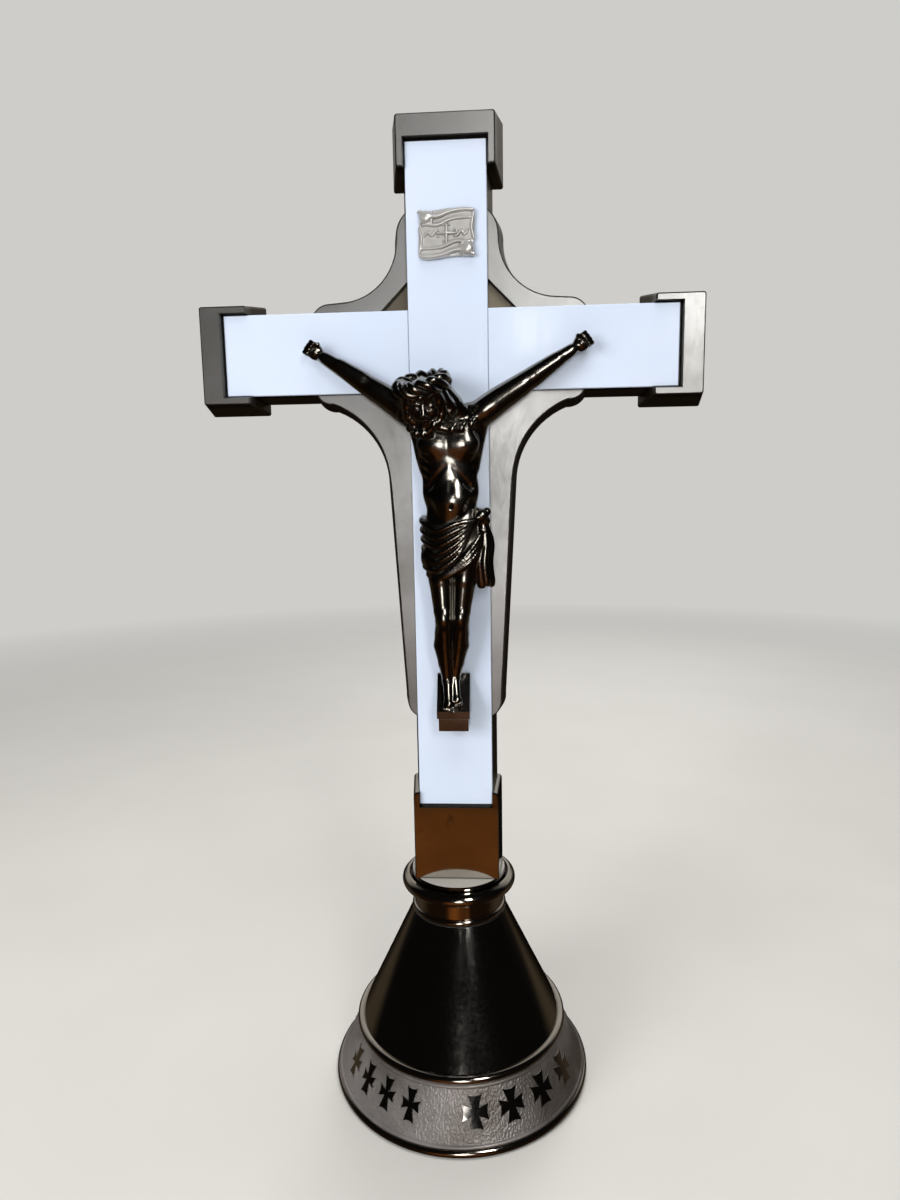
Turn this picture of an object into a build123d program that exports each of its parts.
"""Processional altar cross on a conical stand, in millimetres, +Z up, front towards -Y.

The origin is the bottom centre of the stand. The cross head (shoe, bars, panels, caps and figure)
stands on a square spigot that lifts out of a bush, and the bush turns in the neck of the stand.
"""

import math
import os

from build123d import *

os.makedirs("parts", exist_ok=True)

# ---- driving dimensions: stand ----
FOOT_R = 56.0
FELT_T = 1.2
FELT_R = 49.5
FOOT_RING_BOTTOM = 0.5
FOOT_RING_TOP = 3.4
PLATE_R = 51.0
BAND_TOP_Z = 23.4
BAND_LOW_R = 54.9
BAND_TOP_R = 45.6
BAND_RIM = 1.1
BAND_RECESS = 0.5
BEAD_TOP_Z = 26.6
CONE_LOW_R = 43.6
CONE_TOP_Z = 75.2
CONE_TOP_R = 20.4
CONE_WALL = 2.6
NECK_BEAD_TOP_Z = 78.0
NECK_R = 19.4
SLEEVE_R = 16.0
SLEEVE_LOW_Z = 57.0
COLLAR_LOW_Z = 85.6
COLLAR_R = 24.6
COLLAR_LIP_R = 21.2
COLLAR_TOP_Z = 91.2
FLOOR_TOP_Z = 87.8

# ---- driving dimensions: swivel and lift-out fit ----
BUSH_R = 13.0
BUSH_FIT = 0.05
BUSH_LOW_Z = 54.0
FLANGE_R = 17.5
SEAT_Z = 88.6
SPIGOT_W = 13.0
SPIGOT_FIT = 0.05
SPIGOT_LOW_Z = 56.0
CLIP_LOW_Z = 55.2
CLIP_T = 1.2
CLIP_GROOVE_R = 12.2

# ---- driving dimensions: cross head ----
BAR_W = 30.5
BAR_FRONT_Y = -8.5
BODY_REAR_Y = 4.0
DRAFT = 9.5
GUSSET_FRONT_Y = -7.7
PANEL_T = 2.2
PANEL_FRONT_Y = BAR_FRONT_Y - PANEL_T
ARM_Z = 309.1
ARM_HALF = 87.4
TOP_Z = 384.4
PANEL_LOW_Z = 125.5
BODY_LOW_Z = 104.0
CAP_FRONT_Y = -12.3
CAP_REAR_Y = 6.0
CAP_W = 37.0
CAP_END_T = 9.1
CAP_LEG = 9.2
CAP_FIT = 0.1
CAP_GAP = 0.9
CAP_CORNER_R = 1.0
EDGE_EASE = 0.5
RECESS_L = 20.0
RECESS_SIDE_GAP = 0.4
RECESS_EASE = 0.4
DISC_R = 20.6
DISC_TOP_Z = 93.0
SHOE_W = 35.4
SHOE_FACE_Z = 124.4
SHOE_CHEEK_Z = 131.0
SHOE_DRAFT = 5.0
CHEEK_R = 1.8

SCREW_R = 1.5
HEAD_R = 2.8


def save(piece, label):
    """Label a finished piece and write it as its own STEP file."""
    piece.part.label = label
    export_step(piece.part, f"parts/{label}.step")
    size = piece.part.bounding_box().size
    print(f"{label:18s} {len(piece.part.solids()):2d} solids  {size.X:6.1f} {size.Y:6.1f} {size.Z:6.1f}")


def front_plane(y):
    """A plane at depth y: local x is +X, local y is +Z, and its normal is -Y."""
    return Plane.XZ.offset(-y)


def turned(label, profile):
    """A lathe-turned piece from a closed profile of (radius, height) points."""
    with BuildPart() as piece:
        with BuildSketch(Plane.XZ):
            with BuildLine():
                Polyline(*profile, close=True)
            make_face()
        revolve(axis=Axis.Z)
    save(piece, label)


def ring_spots(radius, count, start):
    """Points evenly spaced on a circle about the stand's axis."""
    turns = [math.radians(start + 360 / count * k) for k in range(count)]
    return [(radius * math.cos(a), radius * math.sin(a)) for a in turns]


# ---- stand ----
BASE_SCREW_SPOTS = ring_spots(43.0, 3, 90)
CONE_SCREW_SPOTS = ring_spots(39.6, 3, 30)
BALLAST_TOP_Z = 16.0
BOLT_R = 3.0


def make_felt_pad():
    turned("felt_pad", [(0, 0), (FELT_R, 0), (FELT_R, FELT_T), (0, FELT_T)])


def make_base_plate():
    with BuildPart() as base_plate:
        with BuildSketch(Plane.XY.offset(FELT_T)):
            Circle(PLATE_R)
        extrude(amount=FOOT_RING_TOP - FELT_T)
        with Locations(Plane.XY.offset(FELT_T)):
            with Locations(*BASE_SCREW_SPOTS):
                Cylinder(HEAD_R, 1.2, align=(Align.CENTER, Align.CENTER, Align.MIN), mode=Mode.SUBTRACT)
                Cylinder(SCREW_R, 8, mode=Mode.SUBTRACT)
            Cylinder(5.4, 1.2, align=(Align.CENTER, Align.CENTER, Align.MIN), mode=Mode.SUBTRACT)
            Cylinder(BOLT_R, 8, mode=Mode.SUBTRACT)
    save(base_plate, "base_plate")


def make_base_screws():
    with BuildPart() as base_screws:
        with Locations(Plane.XY.offset(FELT_T)):
            with Locations(*BASE_SCREW_SPOTS):
                Cylinder(HEAD_R, 1.2, align=(Align.CENTER, Align.CENTER, Align.MIN))
                Cylinder(SCREW_R, 11, align=(Align.CENTER, Align.CENTER, Align.MIN))
    save(base_screws, "base_screws")


def make_ballast():
    turned("ballast_weight", [(BOLT_R, FOOT_RING_TOP), (36, FOOT_RING_TOP), (36, 11), (33, BALLAST_TOP_Z),
                              (BOLT_R, BALLAST_TOP_Z)])
    with BuildPart() as ballast_bolt:
        with Locations((0, 0, FELT_T)):
            Cylinder(5.4, 1.2, align=(Align.CENTER, Align.CENTER, Align.MIN))
            Cylinder(BOLT_R, 22, align=(Align.CENTER, Align.CENTER, Align.MIN))
    save(ballast_bolt, "ballast_bolt")
    with BuildPart() as ballast_nut:
        with BuildSketch(Plane.XY.offset(BALLAST_TOP_Z)):
            RegularPolygon(5.8, 6)
            Circle(BOLT_R, mode=Mode.SUBTRACT)
        extrude(amount=5)
    save(ballast_nut, "ballast_nut")


def make_foot_ring():
    with BuildPart() as foot_ring:
        with BuildSketch(Plane.XZ):
            with BuildLine():
                Polyline((PLATE_R, FOOT_RING_BOTTOM), (FOOT_R - 0.6, FOOT_RING_BOTTOM))
                ThreePointArc((FOOT_R - 0.6, FOOT_RING_BOTTOM), (FOOT_R, 1.5), (BAND_LOW_R + 0.2, FOOT_RING_TOP))
                Polyline((BAND_LOW_R + 0.2, FOOT_RING_TOP), (PLATE_R, FOOT_RING_TOP), (PLATE_R, FOOT_RING_BOTTOM))
            make_face()
        revolve(axis=Axis.Z)
    save(foot_ring, "foot_ring")


def band_radius(z):
    """Radius of the band's outer cone at height z."""
    share = (z - FOOT_RING_TOP) / (BAND_TOP_Z - FOOT_RING_TOP)
    return BAND_LOW_R + (BAND_TOP_R - BAND_LOW_R) * share


def band_profile(inner_drop):
    """Points of the band's outer face from bottom to top, with a raised rim at each end."""
    low = FOOT_RING_TOP + BAND_RIM
    high = BAND_TOP_Z - BAND_RIM
    return [(band_radius(FOOT_RING_TOP), FOOT_RING_TOP), (band_radius(low), low),
            (band_radius(low) - inner_drop, low), (band_radius(high) - inner_drop, high),
            (band_radius(high), high), (BAND_TOP_R, BAND_TOP_Z)]


def make_foot_band():
    ledge_r = 37.0
    ledge_z = BAND_TOP_Z - 3.0
    wall = 3.6
    with BuildPart() as foot_band:
        with BuildSketch(Plane.XZ):
            with BuildLine():
                Polyline((BAND_LOW_R - wall, FOOT_RING_TOP), *band_profile(BAND_RECESS), (ledge_r, BAND_TOP_Z),
                         (ledge_r, ledge_z), (band_radius(ledge_z) - wall, ledge_z), close=True)
            make_face()
        revolve(axis=Axis.Z)
        with BuildSketch(Plane.XY.offset(FOOT_RING_TOP)):
            with Locations(*BASE_SCREW_SPOTS):
                Circle(3.4)
        extrude(amount=BAND_TOP_Z - FOOT_RING_TOP - 1)
        with BuildSketch(Plane.XY.offset(FOOT_RING_TOP)):
            with Locations(*BASE_SCREW_SPOTS):
                Circle(SCREW_R)
        extrude(amount=12, mode=Mode.SUBTRACT)
        with BuildSketch(Plane.XY.offset(ledge_z)):
            with Locations(*CONE_SCREW_SPOTS):
                Circle(SCREW_R)
        extrude(amount=5, mode=Mode.SUBTRACT)
    save(foot_band, "foot_band")


# Two groups of four raised ornaments on the front of the band: (first angle, pitch, width).
ORNAMENT_GROUPS = [(-152.0, 13.5, 8.4), (-81.0, 17.5, 11.0)]
ORNAMENT_H = 12.6
ORNAMENT_PROUD = 0.55
ARM_WAIST = 0.085
ARM_FLARE = 0.27
END_HOLLOW = 0.7


def flared_cross(width, height):
    """A cross whose four arms flare towards their hollowed ends."""
    waist = ARM_WAIST * width
    flare = ARM_FLARE * width
    for reach, turn in ((height / 2, 0), (height / 2, 180), (width / 2, 90), (width / 2, 270)):
        with BuildSketch(Plane.XY, mode=Mode.PRIVATE) as arm:
            with BuildLine():
                Polyline((flare, reach), (waist, 0), (-waist, 0), (-flare, reach))
                ThreePointArc((-flare, reach), (0, reach - END_HOLLOW), (flare, reach))
            make_face()
        add(arm.sketch, rotation=turn)
    Circle(waist * 1.5)


def make_band_ornaments():
    slope = math.degrees(math.atan2(BAND_LOW_R - BAND_TOP_R, BAND_TOP_Z - FOOT_RING_TOP))
    mid_z = (BAND_TOP_Z + FOOT_RING_TOP) / 2
    low = FOOT_RING_TOP + BAND_RIM + 1
    high = BAND_TOP_Z - BAND_RIM - 1
    inner = BAND_RECESS
    outer = BAND_RECESS - ORNAMENT_PROUD
    with BuildPart() as band_ornaments:
        for first, pitch, width in ORNAMENT_GROUPS:
            for k in range(4):
                turn = math.radians(first + pitch * k)
                outward = Vector(math.cos(turn), math.sin(turn), 0)
                spot = outward * (band_radius(mid_z) - 4) + Vector(0, 0, mid_z)
                normal = outward * math.cos(math.radians(slope)) + Vector(0, 0, math.sin(math.radians(slope)))
                side = Vector(-math.sin(turn), math.cos(turn), 0)
                with BuildSketch(Plane(origin=spot, x_dir=side, z_dir=normal)):
                    flared_cross(width, ORNAMENT_H)
                extrude(amount=8)
        with BuildSketch(Plane.XZ):
            with BuildLine():
                Polyline((band_radius(low) - inner, low), (band_radius(low) - outer, low),
                         (band_radius(high) - outer, high), (band_radius(high) - inner, high), close=True)
            make_face()
        revolve(axis=Axis.Z, mode=Mode.INTERSECT)
    save(band_ornaments, "band_ornaments")


def make_cone_bead():
    with BuildPart() as cone_bead:
        with BuildSketch(Plane.XZ):
            with BuildLine():
                Polyline((37, BEAD_TOP_Z), (37, BAND_TOP_Z), (BAND_TOP_R - 0.4, BAND_TOP_Z))
                ThreePointArc((BAND_TOP_R - 0.4, BAND_TOP_Z), (46.1, 24.9), (CONE_LOW_R + 0.3, BEAD_TOP_Z))
                Line((CONE_LOW_R + 0.3, BEAD_TOP_Z), (37, BEAD_TOP_Z))
            make_face()
        revolve(axis=Axis.Z)
        with BuildSketch(Plane.XY.offset(BAND_TOP_Z)):
            with Locations(*CONE_SCREW_SPOTS):
                Circle(SCREW_R)
        extrude(amount=5, mode=Mode.SUBTRACT)
    save(cone_bead, "cone_bead")


def make_cone_screws():
    low = BAND_TOP_Z - 3.0
    with BuildPart() as cone_screws:
        with Locations(Plane.XY.offset(low)):
            with Locations(*CONE_SCREW_SPOTS):
                Cylinder(2.5, 2, align=(Align.CENTER, Align.CENTER, Align.MAX))
                Cylinder(SCREW_R, 8.6, align=(Align.CENTER, Align.CENTER, Align.MIN))
    save(cone_screws, "cone_screws")


def cone_radius(z):
    """Radius of the cone's outer face at height z."""
    return CONE_LOW_R + (CONE_TOP_R - CONE_LOW_R) * (z - BEAD_TOP_Z) / (CONE_TOP_Z - BEAD_TOP_Z)


def make_cone_shell():
    flange_z = BEAD_TOP_Z + 3.0
    roof_z = CONE_TOP_Z - 2.8
    with BuildPart() as cone_shell:
        with BuildSketch(Plane.XZ):
            with BuildLine():
                Polyline((36, BEAD_TOP_Z), (CONE_LOW_R, BEAD_TOP_Z), (CONE_TOP_R, CONE_TOP_Z),
                         (SLEEVE_R, CONE_TOP_Z), (SLEEVE_R, roof_z), (cone_radius(roof_z) - CONE_WALL, roof_z),
                         (cone_radius(flange_z) - CONE_WALL, flange_z), (36, flange_z), close=True)
            make_face()
        revolve(axis=Axis.Z)
        with BuildSketch(Plane.XY.offset(BEAD_TOP_Z)):
            with Locations(*CONE_SCREW_SPOTS):
                Circle(SCREW_R)
        extrude(amount=2.6, mode=Mode.SUBTRACT)
    save(cone_shell, "cone_shell")


def make_neck():
    with BuildPart() as neck_bead:
        with BuildSketch(Plane.XZ):
            with BuildLine():
                Polyline((NECK_R + 0.2, NECK_BEAD_TOP_Z), (SLEEVE_R, NECK_BEAD_TOP_Z), (SLEEVE_R, CONE_TOP_Z),
                         (NECK_R + 0.2, CONE_TOP_Z))
                ThreePointArc((NECK_R + 0.2, CONE_TOP_Z), (NECK_R + 1.1, 76.6), (NECK_R + 0.2, NECK_BEAD_TOP_Z))
            make_face()
        revolve(axis=Axis.Z)
    save(neck_bead, "neck_bead")
    bore = BUSH_R + BUSH_FIT
    turned("neck_sleeve", [(bore, SLEEVE_LOW_Z), (SLEEVE_R, SLEEVE_LOW_Z), (SLEEVE_R, NECK_BEAD_TOP_Z),
                           (NECK_R, NECK_BEAD_TOP_Z), (NECK_R, COLLAR_LOW_Z), (bore, COLLAR_LOW_Z)])
    nut_top = CONE_TOP_Z - 2.8
    with BuildPart() as neck_nut:
        with BuildSketch(Plane.XY.offset(nut_top - 5)):
            RegularPolygon(17.4, 8, major_radius=False)
            Circle(SLEEVE_R, mode=Mode.SUBTRACT)
        extrude(amount=5)
    save(neck_nut, "neck_nut")


def make_collar_ring():
    with BuildPart() as collar_ring:
        with BuildSketch(Plane.XZ):
            with BuildLine():
                Polyline((COLLAR_LIP_R, COLLAR_TOP_Z - 0.5), (COLLAR_LIP_R, FLOOR_TOP_Z),
                         (FLANGE_R + 0.4, FLOOR_TOP_Z), (FLANGE_R + 0.4, COLLAR_LOW_Z), (21.0, COLLAR_LOW_Z))
                ThreePointArc((21.0, COLLAR_LOW_Z), (COLLAR_R - 0.5, 86.6), (COLLAR_R, 88.4))
                ThreePointArc((COLLAR_R, 88.4), (COLLAR_R - 0.4, 89.8), (23.2, COLLAR_TOP_Z - 0.4))
                Polyline((23.2, COLLAR_TOP_Z - 0.4), (22.6, COLLAR_TOP_Z), (COLLAR_LIP_R + 0.4, COLLAR_TOP_Z),
                         (COLLAR_LIP_R, COLLAR_TOP_Z - 0.5))
            make_face()
        revolve(axis=Axis.Z)
    save(collar_ring, "collar_ring")


# ---- swivel ----
def make_swivel_bush():
    clip_top = CLIP_LOW_Z + CLIP_T
    with BuildPart() as swivel_bush:
        with BuildSketch(Plane.XZ):
            with BuildLine():
                Polyline((0, BUSH_LOW_Z), (BUSH_R, BUSH_LOW_Z), (BUSH_R, CLIP_LOW_Z), (CLIP_GROOVE_R, CLIP_LOW_Z),
                         (CLIP_GROOVE_R, clip_top), (BUSH_R, clip_top), (BUSH_R, COLLAR_LOW_Z),
                         (FLANGE_R, COLLAR_LOW_Z), (FLANGE_R, SEAT_Z), (0, SEAT_Z), close=True)
            make_face()
        revolve(axis=Axis.Z)
        with BuildSketch(Plane.XY.offset(BUSH_LOW_Z)):
            Rectangle(SPIGOT_W + 2 * SPIGOT_FIT, SPIGOT_W + 2 * SPIGOT_FIT)
        extrude(amount=SEAT_Z - BUSH_LOW_Z, mode=Mode.SUBTRACT)
    save(swivel_bush, "swivel_bush")


def make_retaining_ring():
    with BuildPart() as retaining_ring:
        with BuildSketch(Plane.XY.offset(CLIP_LOW_Z)):
            Circle(15.6)
            Circle(CLIP_GROOVE_R, mode=Mode.SUBTRACT)
            with Locations((0, 16)):
                Rectangle(11, 14, mode=Mode.SUBTRACT)
        extrude(amount=CLIP_T)
    save(retaining_ring, "retaining_ring")


# ---- cross head ----
def make_spigot():
    stud_top = DISC_TOP_Z + 4.0
    with BuildPart() as spigot:
        with BuildSketch(Plane.XY.offset(SPIGOT_LOW_Z)):
            Rectangle(SPIGOT_W, SPIGOT_W)
        extrude(amount=SEAT_Z - SPIGOT_LOW_Z)
        chamfer(spigot.faces().sort_by(Axis.Z)[0].edges(), length=1.5)
        with BuildSketch(Plane.XY.offset(SEAT_Z)):
            Circle(4)
        extrude(amount=stud_top - SEAT_Z)
    save(spigot, "spigot")


def bar_block(grow):
    """Both bars as one drafted solid, every front face grown by the given clearance."""
    with BuildPart() as block:
        height = TOP_Z - BODY_LOW_Z
        with BuildSketch(front_plane(BAR_FRONT_Y - grow)):
            with Locations((0, (TOP_Z + BODY_LOW_Z) / 2)):
                Rectangle(BAR_W + 2 * grow, height + 2 * grow)
        extrude(amount=-(BODY_REAR_Y - BAR_FRONT_Y + 2 * grow), taper=-DRAFT)
        with BuildSketch(front_plane(BAR_FRONT_Y - grow)):
            with Locations((0, ARM_Z)):
                Rectangle(2 * ARM_HALF + 2 * grow, BAR_W + 2 * grow)
        extrude(amount=-(BODY_REAR_Y - BAR_FRONT_Y + 2 * grow), taper=-DRAFT)
    return block.part


# Gusset outline: concave arcs fill the four corners, and long wings taper down beside the shaft.
UPPER_ARC_C = (42.2, 351.3)
UPPER_ARC_R = 22.7
LOWER_ARC_C = (58.1, 258.6)
LOWER_ARC_R = 33.8
WING_END = (19.4, 170.0)


def half_outline():
    """Right-hand half of the gusset outline, from the top centre to the bottom centre."""
    with BuildLine() as half:
        top = Polyline((0, 361.4), (14.6, 361.4))
        upper = CenterArc(UPPER_ARC_C, UPPER_ARC_R, 180, 88)
        ThreePointArc(top @ 1, (18.3, 357.4), upper @ 0)
        edge = Line(upper @ 1, (47.4, 328.2))
        shoulder = ThreePointArc(edge @ 1, (50.4, 327.1), (52.8, 324.6))
        flank = Line(shoulder @ 1, (52.4, 293.6))
        lower = CenterArc(LOWER_ARC_C, LOWER_ARC_R, 111, 64)
        ThreePointArc(flank @ 1, (50.4, 291.2), lower @ 0)
        wing = Line(lower @ 1, WING_END)
        tip = ThreePointArc(wing @ 1, (18.4, 165.4), (14.8, 162.4))
        Line(tip @ 1, (0, 162.4))
    return half.line


def gusset_face():
    """The whole gusset outline as a face."""
    with BuildSketch() as face:
        with BuildLine():
            add(half_outline())
            Line((0, 162.4), (0, 361.4))
        make_face()
        mirror(about=Plane.YZ)
    return face.sketch


def gusset_block():
    """The gussets as one drafted solid with an eased front edge."""
    with BuildPart() as block:
        with BuildSketch(front_plane(GUSSET_FRONT_Y)):
            add(gusset_face())
        extrude(amount=-(BODY_REAR_Y - GUSSET_FRONT_Y), taper=-DRAFT)
        chamfer(block.faces().sort_by(Axis.Y)[0].edges(), length=EDGE_EASE)
    return block.part


def gusset_hollow(inset):
    """The space behind the gussets: the same arcs and wings, moved in by an inset."""
    with BuildSketch() as face:
        with BuildLine():
            upper = CenterArc(UPPER_ARC_C, UPPER_ARC_R + inset, 190, 72)
            lower = CenterArc(LOWER_ARC_C, LOWER_ARC_R + inset, 114, 58)
            Polyline(upper @ 0, (0, (upper @ 0).Y), (0, WING_END[1] + inset),
                     (WING_END[0] - inset, WING_END[1] + inset), lower @ 1)
            Line(upper @ 1, lower @ 0)
        make_face()
        mirror(about=Plane.YZ)
    return face.sketch


def rear_face(inset):
    """Rear opening of the casting: both bars and the gusset outline, shrunk by an inset."""
    with BuildSketch() as face:
        add(gusset_hollow(inset))
        with Locations((0, (TOP_Z + BODY_LOW_Z) / 2)):
            Rectangle(BAR_W - 2 * inset, TOP_Z - BODY_LOW_Z - 2 * inset - 8)
        with Locations((0, ARM_Z)):
            Rectangle(2 * ARM_HALF - 2 * inset - 8, BAR_W - 2 * inset)
    return face.sketch


HAND_SPOTS = [(-51.5, 310.6), (52.5, 311.0)]
FEET_SPOT = (0.0, 174.4)
FOOTREST_SPOT = (0.0, 163.4)
SCROLL_SPOTS = [(-7.0, 351.2), (7.0, 351.2)]
COVER_SPOTS = [(0.0, 366.0), (0.0, 232.0), (0.0, 136.0), (-72.0, ARM_Z), (72.0, ARM_Z)]
SHOE_SCREW_SPOTS = [(0.0, 112.0), (0.0, 120.5)]
STUD_R = 1.1
HAND_STUD_Y = -14.0
FOOT_STUD_Y = -19.6
COVER_T = 2.0
CAVITY_Y = -5.0
POCKET_Y = -0.7
POST_R = 3.6


def stud_holes(depth):
    """Cut every stud hole through the panels and the front wall, from the front."""
    with BuildSketch(front_plane(PANEL_FRONT_Y)) as holes:
        with Locations(*HAND_SPOTS, FEET_SPOT, FOOTREST_SPOT, *SCROLL_SPOTS):
            Circle(STUD_R)
    extrude(holes.sketch, amount=-depth, mode=Mode.SUBTRACT)


def make_cross_body():
    with BuildPart() as cross_body:
        add(bar_block(0))
        add(gusset_block())
        with BuildSketch(front_plane(BODY_REAR_Y)):
            add(rear_face(2.4))
        extrude(amount=COVER_T, mode=Mode.SUBTRACT)
        with BuildSketch(front_plane(BODY_REAR_Y)):
            add(gusset_hollow(4.2))
        extrude(amount=BODY_REAR_Y - POCKET_Y, mode=Mode.SUBTRACT)
        with BuildSketch(front_plane(BODY_REAR_Y)):
            with Locations((0, (378 + PANEL_LOW_Z) / 2)):
                Rectangle(BAR_W - 8.4, 378 - PANEL_LOW_Z)
            with Locations((0, ARM_Z)):
                Rectangle(2 * 81, BAR_W - 8.4)
        extrude(amount=BODY_REAR_Y - CAVITY_Y, mode=Mode.SUBTRACT)
        with BuildSketch(front_plane(CAVITY_Y)):
            with Locations(*COVER_SPOTS):
                Circle(POST_R)
        extrude(amount=-(BODY_REAR_Y - COVER_T - CAVITY_Y))
        with BuildSketch(front_plane(BODY_REAR_Y)):
            with Locations(*COVER_SPOTS):
                Circle(SCREW_R)
        extrude(amount=8, mode=Mode.SUBTRACT)
        with BuildSketch(front_plane(GUSSET_FRONT_Y)):
            for side in (-1, 1):
                for rise in (-1, 1):
                    x0 = side * BAR_W / 2
                    z0 = ARM_Z + rise * BAR_W / 2
                    with BuildLine():
                        Polyline((x0, z0), (x0 + side * 11.6, z0), (x0, z0 + rise * 11.6), close=True)
                    make_face()
        extrude(amount=-4.0, mode=Mode.SUBTRACT)
        with BuildSketch(front_plane(BODY_REAR_Y)):
            with Locations(*SHOE_SCREW_SPOTS):
                Circle(SCREW_R)
        extrude(amount=8, mode=Mode.SUBTRACT)
        for side in (-1, 1):
            with BuildSketch(Plane.YZ.offset(side * 100)):
                with Locations((-2.0, ARM_Z)):
                    Circle(SCREW_R)
            extrude(amount=-side * 24, mode=Mode.SUBTRACT)
        with BuildSketch(Plane.XY.offset(400)):
            with Locations((0, -2.0)):
                Circle(SCREW_R)
        extrude(amount=-24, mode=Mode.SUBTRACT)
        stud_holes(8)
    save(cross_body, "cross_body")


def make_back_cover():
    with BuildPart() as back_cover:
        with BuildSketch(front_plane(BODY_REAR_Y)):
            add(rear_face(2.55))
        extrude(amount=COVER_T)
        with BuildSketch(front_plane(BODY_REAR_Y)):
            with Locations(*COVER_SPOTS, *SHOE_SCREW_SPOTS):
                Circle(SCREW_R)
        extrude(amount=COVER_T, mode=Mode.SUBTRACT)
    save(back_cover, "back_cover")


def make_rear_screws():
    with BuildPart() as cover_screws:
        with BuildSketch(front_plane(BODY_REAR_Y)):
            with Locations(*COVER_SPOTS):
                Circle(SCREW_R)
        extrude(amount=7)
        with BuildSketch(front_plane(BODY_REAR_Y)):
            with Locations(*COVER_SPOTS):
                Circle(HEAD_R)
        extrude(amount=-1.6)
    save(cover_screws, "cover_screws")
    with BuildPart() as shoe_screws:
        with BuildSketch(front_plane(CAP_REAR_Y)):
            with Locations(*SHOE_SCREW_SPOTS):
                Circle(SCREW_R)
        extrude(amount=9)
        with BuildSketch(front_plane(CAP_REAR_Y)):
            with Locations(*SHOE_SCREW_SPOTS):
                Circle(HEAD_R)
        extrude(amount=-1.6)
    save(shoe_screws, "shoe_screws")


def make_panel(label, x0, x1, z0, z1):
    """One white face panel, its front edges eased."""
    with BuildPart() as panel:
        with BuildSketch(front_plane(PANEL_FRONT_Y)):
            with Locations(((x0 + x1) / 2, (z0 + z1) / 2)):
                Rectangle(x1 - x0, z1 - z0)
        extrude(amount=-PANEL_T)
        chamfer(panel.faces().sort_by(Axis.Y)[0].edges(), length=0.25)
        stud_holes(PANEL_T)
    save(panel, label)


def make_panels():
    half = BAR_W / 2
    make_panel("panel_vertical", -half, half, PANEL_LOW_Z, TOP_Z)
    make_panel("panel_left", -ARM_HALF, -half - 0.12, ARM_Z - half, ARM_Z + half)
    make_panel("panel_right", half + 0.12, ARM_HALF, ARM_Z - half, ARM_Z + half)


def make_cap(label, plane_centre, end_dir):
    """A U-shaped cap over one bar end; end_dir is the direction that the bar points."""
    dx, dz = end_dir
    depth = CAP_END_T + CAP_LEG
    mid = (plane_centre[0] + dx * (CAP_END_T - CAP_LEG) / 2, plane_centre[1] + dz * (CAP_END_T - CAP_LEG) / 2)
    wide = depth if dx else CAP_W
    tall = depth if dz else CAP_W
    with BuildPart() as cap:
        with BuildSketch(front_plane(CAP_FRONT_Y)):
            with Locations(mid):
                Rectangle(wide, tall)
        extrude(amount=-(CAP_REAR_Y - CAP_FRONT_Y), taper=-DRAFT)
        front, *_, rear = cap.faces().sort_by(Axis.Y)
        fillet(cap.edges() - front.edges() - rear.edges(), radius=CAP_CORNER_R)
        chamfer(cap.faces().sort_by(Axis.Y)[0].edges(), length=EDGE_EASE)
        add(bar_block(CAP_FIT), mode=Mode.SUBTRACT)
        for ease, depth, slope in ((0, BAR_FRONT_Y - CAP_FRONT_Y, 0), (RECESS_EASE, RECESS_EASE, 45)):
            long_side = 2 * (RECESS_L + CAP_GAP + ease)
            short_side = BAR_W + 2 * (RECESS_SIDE_GAP + ease)
            with BuildSketch(front_plane(CAP_FRONT_Y)):
                with Locations((plane_centre[0] - dx * RECESS_L, plane_centre[1] - dz * RECESS_L)):
                    Rectangle(long_side if dx else short_side, long_side if dz else short_side)
            extrude(amount=-depth, taper=slope, mode=Mode.SUBTRACT)
        head = Plane(origin=(plane_centre[0] + dx * 25, -2.0, plane_centre[1] + dz * 25), z_dir=(dx, 0, dz))
        with BuildSketch(head):
            Circle(SCREW_R)
        extrude(amount=-30, mode=Mode.SUBTRACT)
        with BuildSketch(head):
            Circle(HEAD_R + 0.2)
        extrude(amount=-(25 - CAP_END_T + 2.0), mode=Mode.SUBTRACT)
    save(cap, label)


CAP_ENDS = {
    "cap_left": ((-ARM_HALF, ARM_Z), (-1, 0)),
    "cap_right": ((ARM_HALF, ARM_Z), (1, 0)),
    "cap_top": ((0.0, TOP_Z), (0, 1)),
}


def make_caps():
    for label, (centre, end_dir) in CAP_ENDS.items():
        make_cap(label, centre, end_dir)
    with BuildPart() as cap_screws:
        for centre, (dx, dz) in CAP_ENDS.values():
            reach = CAP_END_T - 2.0
            seat = Plane(origin=(centre[0] + dx * reach, -2.0, centre[1] + dz * reach), z_dir=(dx, 0, dz))
            with BuildSketch(seat):
                Circle(SCREW_R)
            extrude(amount=-11)
            with BuildSketch(seat):
                Circle(HEAD_R)
            extrude(amount=1.6)
    save(cap_screws, "cap_screws")


def shoe_block():
    """The drafted block of the shoe, its front edges eased."""
    with BuildPart() as block:
        with BuildSketch(front_plane(CAP_FRONT_Y)):
            with Locations((0, (DISC_TOP_Z + SHOE_CHEEK_Z) / 2)):
                Rectangle(SHOE_W, SHOE_CHEEK_Z - DISC_TOP_Z)
        extrude(amount=-(CAP_REAR_Y - CAP_FRONT_Y), taper=-SHOE_DRAFT)
        fillet(block.faces().sort_by(Axis.Z)[-1].edges().filter_by(Axis.X, reverse=True), radius=CHEEK_R)
        chamfer(block.faces().sort_by(Axis.Y)[0].edges().sort_by(Axis.Z)[1:], length=EDGE_EASE)
        with BuildSketch(Plane.XY.offset(DISC_TOP_Z)):
            Circle(3 * DISC_R)
        extrude(amount=-8, mode=Mode.SUBTRACT)
    return block.part


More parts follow.
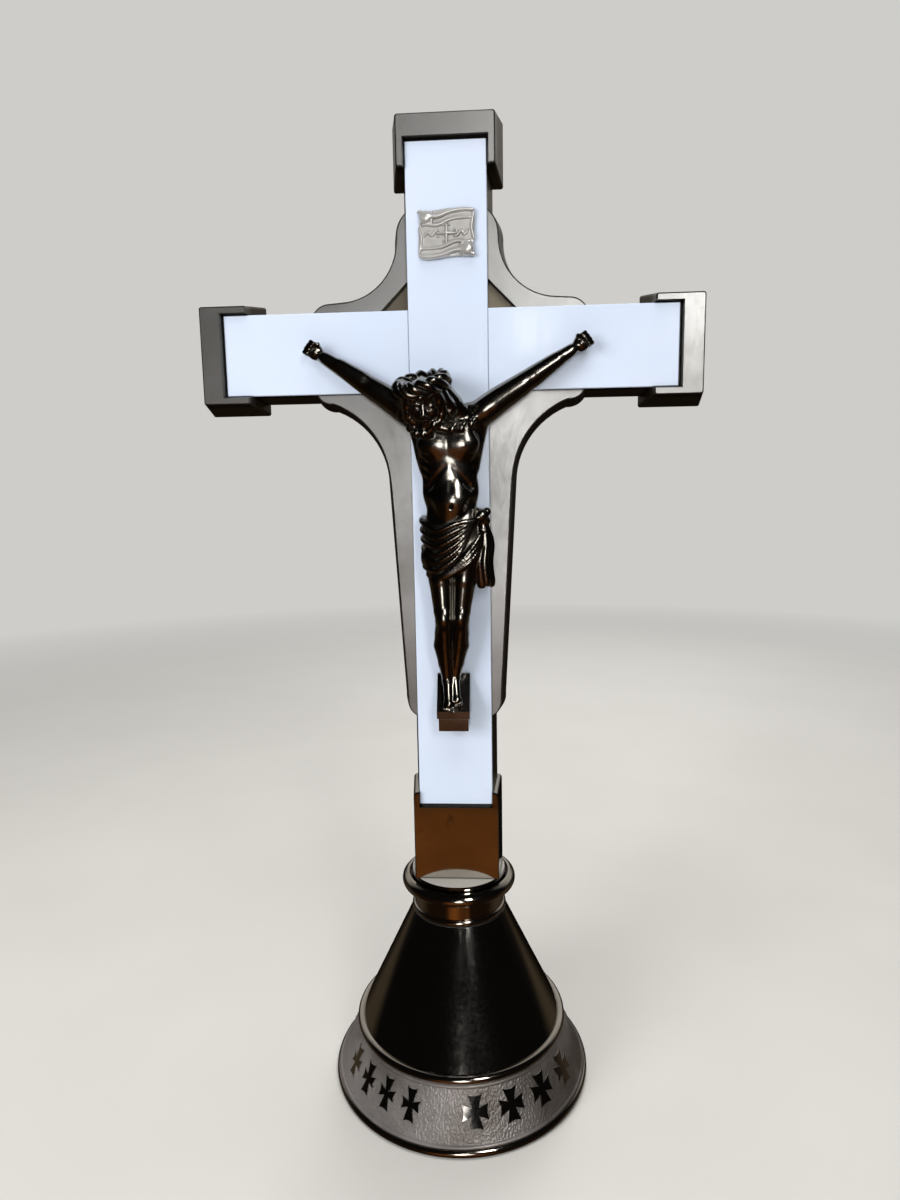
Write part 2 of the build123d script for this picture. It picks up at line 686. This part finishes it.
def make_shoe():
    """Turned disc with the channel that holds the foot of the shaft."""
    with BuildPart() as shoe:
        with BuildSketch(Plane.XY.offset(SEAT_Z)):
            Circle(DISC_R)
        extrude(amount=DISC_TOP_Z - SEAT_Z)
        chamfer(shoe.faces().sort_by(Axis.Z)[-1].edges(), length=0.5)
        add(shoe_block())
        add(bar_block(CAP_FIT), mode=Mode.SUBTRACT)
        with BuildSketch(front_plane(CAP_FRONT_Y)):
            with Locations((0, SHOE_FACE_Z + 10)):
                Rectangle(BAR_W + 0.2, 20)
        extrude(amount=-(BAR_FRONT_Y - CAP_FRONT_Y), mode=Mode.SUBTRACT)
        with BuildSketch(Plane.XY.offset(SEAT_Z)):
            Circle(4)
        extrude(amount=8.4, mode=Mode.SUBTRACT)
        with BuildSketch(front_plane(CAP_REAR_Y)):
            with Locations(*SHOE_SCREW_SPOTS):
                Circle(SCREW_R)
        extrude(amount=4, mode=Mode.SUBTRACT)
    save(shoe, "shoe")


def make_title_scroll():
    """Parchment scroll with a rolled ball at two opposite corners and two studs behind."""
    back = PANEL_FRONT_Y
    with BuildPart() as title_scroll:
        with BuildSketch(front_plane(back)):
            with BuildLine():
                top = Spline((-8.6, 360.2), (-3.4, 359.1), (2.8, 360.5), (8.8, 360.5))
                right = Spline((10.9, 357.6), (10.2, 351.4), (11.0, 345.4))
                low = Spline((8.6, 342.4), (3.4, 343.6), (-3.4, 342.0), (-8.6, 342.3))
                left = Spline((-10.9, 345.2), (-10.0, 351.2), (-11.0, 357.4))
                for before, after in ((top, right), (right, low), (low, left), (left, top)):
                    Line(before @ 1, after @ 0)
            make_face()
        extrude(amount=1.4)
        with Locations((-8.4, back - 1.0, 357.0), (8.2, back - 1.0, 345.5)):
            Sphere(2.2)
        with BuildSketch(front_plane(back)):
            with Locations((0, 351)):
                Rectangle(60, 60)
        extrude(amount=-10, mode=Mode.SUBTRACT)
        with BuildSketch(front_plane(back)):
            with Locations(*SCROLL_SPOTS):
                Circle(STUD_R)
        extrude(amount=-8.2)
    save(title_scroll, "title_scroll")


def make_stud_nuts(label, spots):
    """Push nuts on the studs that come through the front wall of the casting."""
    with BuildPart() as nuts:
        with BuildSketch(front_plane(CAVITY_Y)):
            with Locations(*spots):
                Circle(3.0)
                Circle(STUD_R, mode=Mode.SUBTRACT)
        extrude(amount=-1.6)
    save(nuts, label)


def make_figure_studs(label, spots, tip_y):
    """Threaded studs sunk in the back of the figure, running through the panel and the front wall."""
    with BuildPart() as studs:
        with BuildSketch(front_plane(tip_y)):
            with Locations(*spots):
                Circle(STUD_R)
        extrude(amount=-(CAVITY_Y + 2.6 - tip_y))
    save(studs, label)


def make_footrest():
    """Sloping foot support on a narrower block, with one stud behind."""
    back = PANEL_FRONT_Y
    with BuildPart() as footrest:
        with BuildSketch(Plane.YZ):
            with BuildLine():
                Polyline((back, 182.0), (back - 1.2, 182.0), (back - 9.6, 168.4), (back - 9.6, 165.4),
                         (back, 165.4), close=True)
            make_face()
        extrude(amount=6.6, both=True)
        with BuildSketch(Plane.XY.offset(165.4)):
            with Locations((0, back - 4)):
                Rectangle(12.0, 8.0)
        extrude(amount=-5.6)
        with BuildSketch(front_plane(back)):
            with Locations(FEET_SPOT):
                Circle(STUD_R)
        extrude(amount=12, mode=Mode.SUBTRACT)
        with BuildSketch(front_plane(back)):
            with Locations(FOOTREST_SPOT):
                Circle(STUD_R)
        extrude(amount=-8.2)
    save(footrest, "footrest")


# ---- figure ----
def limb(a, b, ra, rb):
    """A tapered round limb from point a to point b with rounded ends."""
    start = Vector(*a)
    end = Vector(*b)
    with BuildSketch(Plane(origin=start, z_dir=end - start)) as near:
        Circle(ra)
    with BuildSketch(Plane(origin=end, z_dir=end - start)) as far:
        Circle(rb)
    loft([near.sketch, far.sketch])
    with Locations(a):
        Sphere(ra * 1.02)
    with Locations(b):
        Sphere(rb * 1.02)


# Body sections: (height, centre x, centre y, half width, half depth).
TORSO = [(285.5, -2.5, -17.6, 11.0, 5.2), (276.0, -0.5, -18.4, 12.8, 6.6), (262.0, 0.2, -18.2, 10.6, 6.2),
         (250.0, 0.6, -17.4, 9.6, 5.6), (243.0, 1.2, -17.4, 11.4, 6.2)]
CLOTH = [(247.0, 1.4, -17.6, 12.0, 6.5), (236.0, 1.9, -18.0, 14.0, 7.0), (224.0, 1.4, -17.8, 11.8, 6.6)]
JOINTS = {
    "shoulder": (11.0, -17.0, 285.2, 4.3),
    "elbow": (32.0, -15.6, 298.2, 3.2),
    "wrist": (47.5, -14.6, 307.6, 2.1),
    "hand": (53.0, -13.8, 311.0, 2.4),
}
LEG_LEFT = [(-4.5, -18.0, 226.0, 6.0), (-2.6, -21.0, 204.5, 4.6), (-1.6, -17.6, 192.0, 4.4),
            (-0.6, -17.8, 178.0, 2.5), (0.2, -21.9, 170.8, 2.1)]
LEG_RIGHT = [(6.5, -18.0, 226.0, 6.0), (3.4, -20.6, 204.5, 4.6), (2.6, -17.0, 192.0, 4.2),
             (0.8, -17.0, 180.0, 2.4), (-0.4, -21.2, 173.2, 2.0)]
SHOULDER_LEFT_X = -15.0


def stack(sections):
    """Loft a trunk through elliptical sections."""
    rings = []
    for z, x, y, half_w, half_d in sections:
        with BuildSketch(Plane.XY.offset(z)) as ring:
            with Locations((x, y)):
                Ellipse(half_w, half_d)
        rings.append(ring.sketch)
    loft(rings)


def make_corpus():
    with BuildPart() as corpus:
        stack(TORSO)
        stack(CLOTH)
        for side in (-1, 1):
            chain = []
            for name, (x, y, z, r) in JOINTS.items():
                shift = SHOULDER_LEFT_X + 11.0 if side < 0 and name == "shoulder" else 0.0
                chain.append((side * x + shift, y, z, r))
            for near, far in zip(chain, chain[1:]):
                limb(near[:3], far[:3], near[3], far[3])
        for chain in (LEG_LEFT, LEG_RIGHT):
            for near, far in zip(chain, chain[1:]):
                limb(near[:3], far[:3], near[3], far[3])
        limb((-3.5, -19.0, 281.0), (-6.5, -22.0, 290.0), 4.4, 4.2)
        limb((-9.8, -24.6, 284.6), (-7.4, -21.4, 293.0), 6.0, 8.4)
        with Locations(Plane(origin=(-6.8, -21.4, 296.0), z_dir=(0.16, 0.26, 0.95))):
            Torus(7.6, 1.7)
        limb((14.0, -17.6, 243.0), (14.6, -17.0, 222.0), 2.4, 2.9)
        with BuildSketch(front_plane(PANEL_FRONT_Y - 0.1)):
            with Locations((0, 240)):
                Rectangle(200, 200)
        extrude(amount=-20, mode=Mode.SUBTRACT)
        for spots, tip_y in ((HAND_SPOTS, HAND_STUD_Y), ([FEET_SPOT], FOOT_STUD_Y)):
            with BuildSketch(front_plane(PANEL_FRONT_Y)):
                with Locations(*spots):
                    Circle(STUD_R)
            extrude(amount=PANEL_FRONT_Y - tip_y, mode=Mode.SUBTRACT)
    save(corpus, "corpus")


def main():
    make_felt_pad()
    make_base_plate()
    make_base_screws()
    make_ballast()
    make_foot_ring()
    make_foot_band()
    make_band_ornaments()
    make_cone_bead()
    make_cone_screws()
    make_cone_shell()
    make_neck()
    make_collar_ring()
    make_swivel_bush()
    make_retaining_ring()
    make_spigot()
    make_cross_body()
    make_back_cover()
    make_rear_screws()
    make_panels()
    make_caps()
    make_shoe()
    make_title_scroll()
    make_stud_nuts("scroll_nuts", SCROLL_SPOTS)
    make_corpus()
    make_figure_studs("hand_studs", HAND_SPOTS, HAND_STUD_Y)
    make_stud_nuts("hand_nuts", HAND_SPOTS)
    make_footrest()
    make_figure_studs("foot_stud", [FEET_SPOT], FOOT_STUD_Y)
    make_stud_nuts("foot_nuts", [FEET_SPOT, FOOTREST_SPOT])


main()
